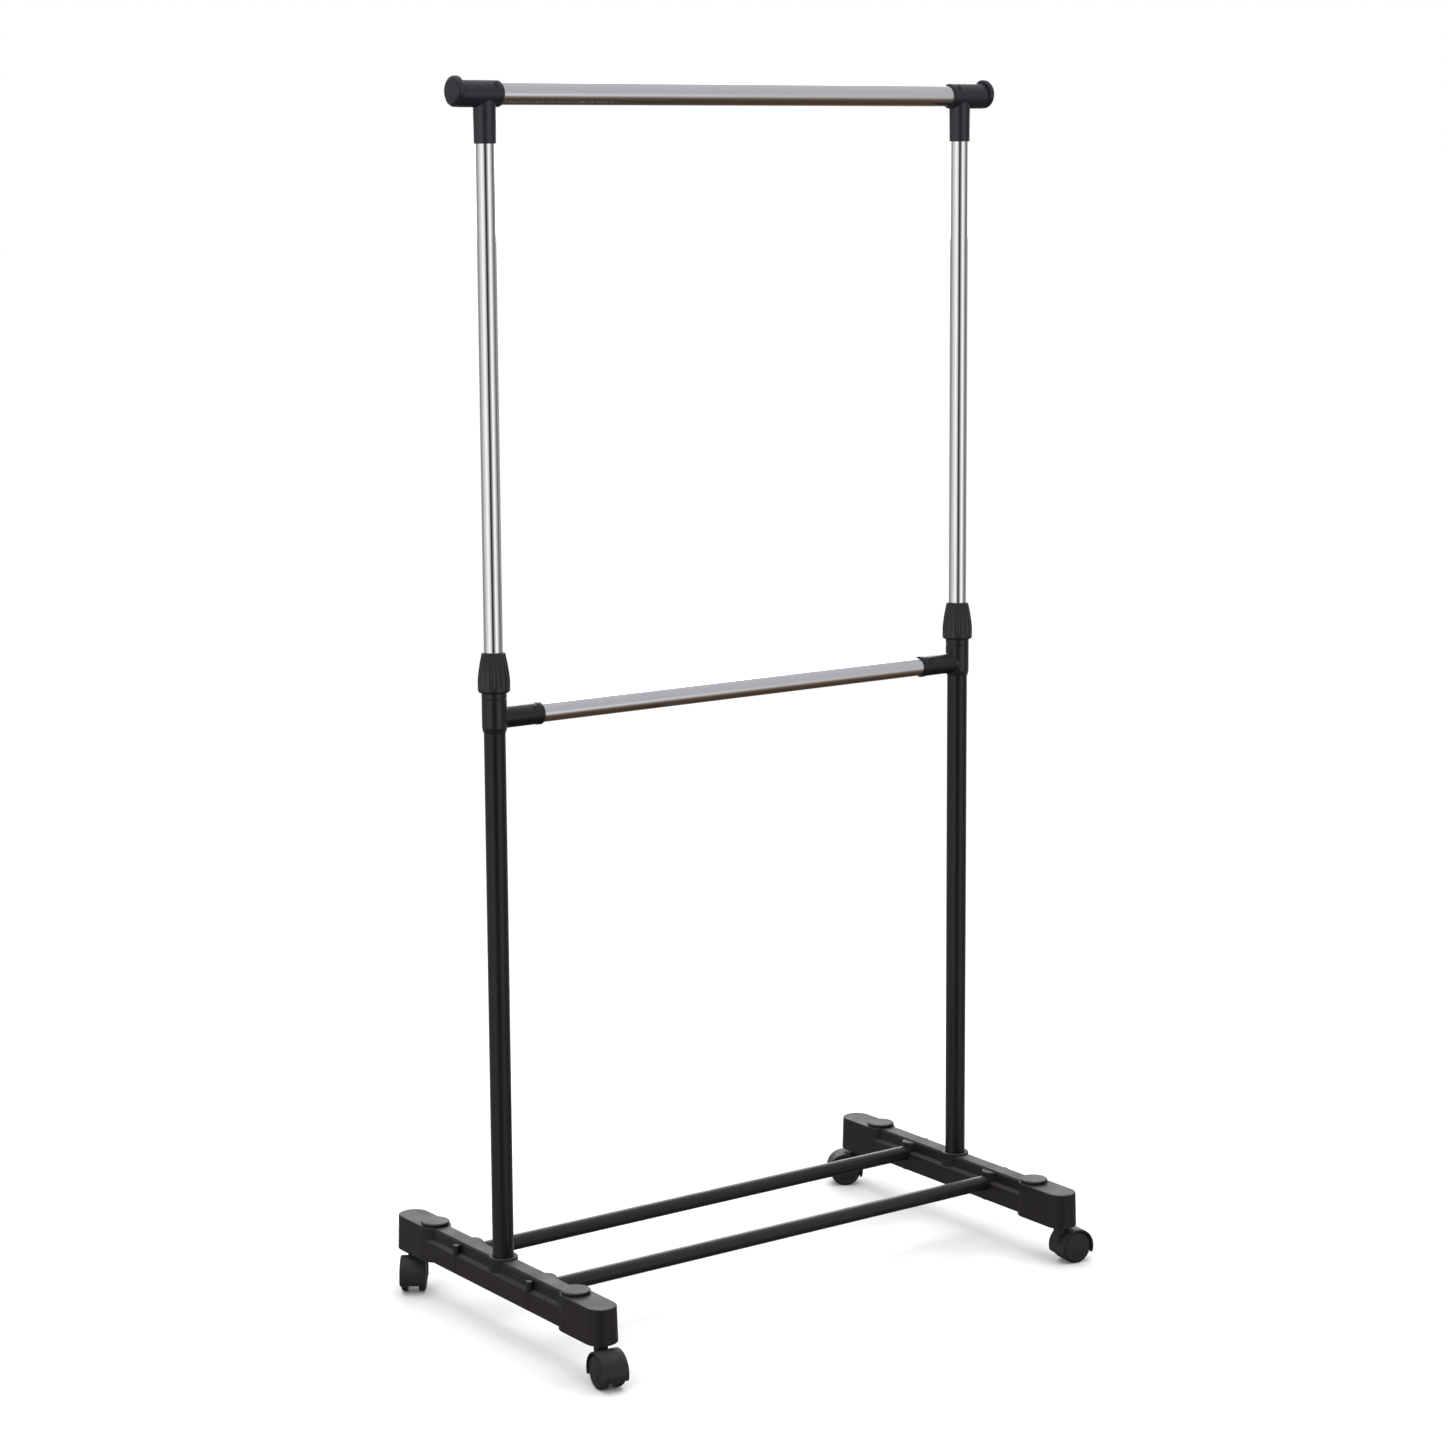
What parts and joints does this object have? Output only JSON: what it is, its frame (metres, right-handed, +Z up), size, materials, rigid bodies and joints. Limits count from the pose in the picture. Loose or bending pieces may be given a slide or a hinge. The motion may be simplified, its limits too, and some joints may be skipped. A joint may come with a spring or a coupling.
{
  "type": "rolling clothes rack",
  "caption": "Free-standing clothes rack: long moulded feet on twin-wheel casters, telescoping posts with twist locks, a hanging rail and a middle rail.",
  "frame": {"origin": "on the floor, at the middle of the footprint", "axes": "+Z up, X along the hanging rail, Y along the feet; the front is -Y"},
  "size_m": [0.7906, 0.4932, 1.4832],
  "materials": {
    "foot_plastic": "satin moulded black, fine grain",
    "cap_plastic": "satin moulded black",
    "fitting_plastic": "satin moulded black",
    "nut_plastic": "satin moulded black",
    "top_fitting_plastic": "semi-gloss blue-black",
    "post_paint": "semi-gloss black powder coat",
    "bar_paint": "satin black powder coat",
    "chrome": "polished plating",
    "nylon": "natural nylon",
    "steel": "zinc plated",
    "screw_black": "blackened steel",
    "caster_plastic": "semi-gloss black",
    "wheel_plastic": "satin black nylon"
  },
  "bodies": {
    "base_frame": {"left_foot": "foot_plastic", "left_foot_front_cap": "cap_plastic", "left_foot_rear_cap": "cap_plastic", "lower_post_left": "post_paint", "post_insert_left": "steel", "post_bolt_left": "steel", "mid_tee_left": "fitting_plastic", "right_foot": "foot_plastic", "right_foot_front_cap": "cap_plastic", "right_foot_rear_cap": "cap_plastic", "lower_post_right": "post_paint", "post_insert_right": "steel", "post_bolt_right": "steel", "mid_tee_right": "fitting_plastic", "mid_rail": "chrome", "front_bar": "bar_paint", "rear_bar": "bar_paint", "caster_sleeves": "nylon", "caster_grip_rings": "steel", "bar_screws": "screw_black", "mid_tee_screws": "screw_black"},
    "upper_frame": {"upper_post_left": "chrome", "guide_plug_left": "nylon", "top_tee_left": "top_fitting_plastic", "rail_end_cap_left": "top_fitting_plastic", "upper_post_right": "chrome", "guide_plug_right": "nylon", "top_tee_right": "top_fitting_plastic", "rail_end_cap_right": "top_fitting_plastic", "top_rail": "chrome", "top_tee_screws": "screw_black"},
    "clamp_left": {"clamp_ring_left": "nylon"},
    "nut_left": {"lock_nut_left": "nut_plastic"},
    "clamp_right": {"clamp_ring_right": "nylon"},
    "nut_right": {"lock_nut_right": "nut_plastic"},
    "caster_left_front": {"caster_left_front_hood": "caster_plastic", "caster_left_front_stem": "steel", "caster_left_front_axle": "steel"},
    "caster_left_front_outer_wheel": {"caster_left_front_outer_wheel": "wheel_plastic"},
    "caster_left_front_inner_wheel": {"caster_left_front_inner_wheel": "wheel_plastic"},
    "caster_left_rear": {"caster_left_rear_hood": "caster_plastic", "caster_left_rear_stem": "steel", "caster_left_rear_axle": "steel"},
    "caster_left_rear_outer_wheel": {"caster_left_rear_outer_wheel": "wheel_plastic"},
    "caster_left_rear_inner_wheel": {"caster_left_rear_inner_wheel": "wheel_plastic"},
    "caster_right_front": {"caster_right_front_hood": "caster_plastic", "caster_right_front_stem": "steel", "caster_right_front_axle": "steel"},
    "caster_right_front_outer_wheel": {"caster_right_front_outer_wheel": "wheel_plastic"},
    "caster_right_front_inner_wheel": {"caster_right_front_inner_wheel": "wheel_plastic"},
    "caster_right_rear": {"caster_right_rear_hood": "caster_plastic", "caster_right_rear_stem": "steel", "caster_right_rear_axle": "steel"},
    "caster_right_rear_outer_wheel": {"caster_right_rear_outer_wheel": "wheel_plastic"},
    "caster_right_rear_inner_wheel": {"caster_right_rear_inner_wheel": "wheel_plastic"}
  },
  "joints": [
    {"name": "height_adjust", "type": "slide", "parent": "base_frame", "child": "upper_frame", "axis": [0, 0, 1], "range_m": [-0.5, 0.05]},
    {"name": "clamp_left_rise", "type": "slide", "parent": "base_frame", "child": "clamp_left", "axis": [0, 0, 1], "range_m": [0, 0.004]},
    {"name": "nut_left_twist", "type": "hinge", "parent": "clamp_left", "child": "nut_left", "pos_m": [-0.35, 0, 0.7765], "axis": [0, 0, 1], "range_deg": [0, 359.9]},
    {"name": "clamp_right_rise", "type": "slide", "parent": "base_frame", "child": "clamp_right", "axis": [0, 0, 1], "range_m": [0, 0.004]},
    {"name": "nut_right_twist", "type": "hinge", "parent": "clamp_right", "child": "nut_right", "pos_m": [0.35, 0, 0.7765], "axis": [0, 0, 1], "range_deg": [0, 359.9]},
    {"name": "caster_left_front_swivel", "type": "hinge", "parent": "base_frame", "child": "caster_left_front", "pos_m": [-0.35, -0.2078, 0.05], "axis": [0, 0, 1], "continuous": true},
    {"name": "caster_left_front_outer_wheel_spin", "type": "hinge", "parent": "caster_left_front", "child": "caster_left_front_outer_wheel", "pos_m": [-0.35207, -0.22467, 0.0203], "axis": [0.9925, -0.1219, 0], "continuous": true},
    {"name": "caster_left_front_inner_wheel_spin", "type": "hinge", "parent": "caster_left_front", "child": "caster_left_front_inner_wheel", "pos_m": [-0.35207, -0.22467, 0.0203], "axis": [0.9925, -0.1219, 0], "continuous": true},
    {"name": "caster_left_rear_swivel", "type": "hinge", "parent": "base_frame", "child": "caster_left_rear", "pos_m": [-0.35, 0.2078, 0.05], "axis": [0, 0, 1], "continuous": true},
    {"name": "caster_left_rear_outer_wheel_spin", "type": "hinge", "parent": "caster_left_rear", "child": "caster_left_rear_outer_wheel", "pos_m": [-0.35999, 0.19405, 0.0203], "axis": [0.809, -0.5878, 0], "continuous": true},
    {"name": "caster_left_rear_inner_wheel_spin", "type": "hinge", "parent": "caster_left_rear", "child": "caster_left_rear_inner_wheel", "pos_m": [-0.35999, 0.19405, 0.0203], "axis": [0.809, -0.5878, 0], "continuous": true},
    {"name": "caster_right_front_swivel", "type": "hinge", "parent": "base_frame", "child": "caster_right_front", "pos_m": [0.35, -0.2078, 0.05], "axis": [0, 0, 1], "continuous": true},
    {"name": "caster_right_front_outer_wheel_spin", "type": "hinge", "parent": "caster_right_front", "child": "caster_right_front_outer_wheel", "pos_m": [0.36684, -0.21017, 0.0203], "axis": [0.1392, 0.9903, 0], "continuous": true},
    {"name": "caster_right_front_inner_wheel_spin", "type": "hinge", "parent": "caster_right_front", "child": "caster_right_front_inner_wheel", "pos_m": [0.36684, -0.21017, 0.0203], "axis": [0.1392, 0.9903, 0], "continuous": true},
    {"name": "caster_right_rear_swivel", "type": "hinge", "parent": "base_frame", "child": "caster_right_rear", "pos_m": [0.35, 0.2078, 0.05], "axis": [0, 0, 1], "continuous": true},
    {"name": "caster_right_rear_outer_wheel_spin", "type": "hinge", "parent": "caster_right_rear", "child": "caster_right_rear_outer_wheel", "pos_m": [0.33591, 0.21731, 0.0203], "axis": [-0.5592, -0.829, 0], "continuous": true},
    {"name": "caster_right_rear_inner_wheel_spin", "type": "hinge", "parent": "caster_right_rear", "child": "caster_right_rear_inner_wheel", "pos_m": [0.33591, 0.21731, 0.0203], "axis": [-0.5592, -0.829, 0], "continuous": true}
  ],
  "couplings": [
    {"joint": "clamp_left_rise", "follows": "nut_left_twist", "m_per_rad": 0.000636},
    {"joint": "clamp_right_rise", "follows": "nut_right_twist", "m_per_rad": 0.000636}
  ]
}
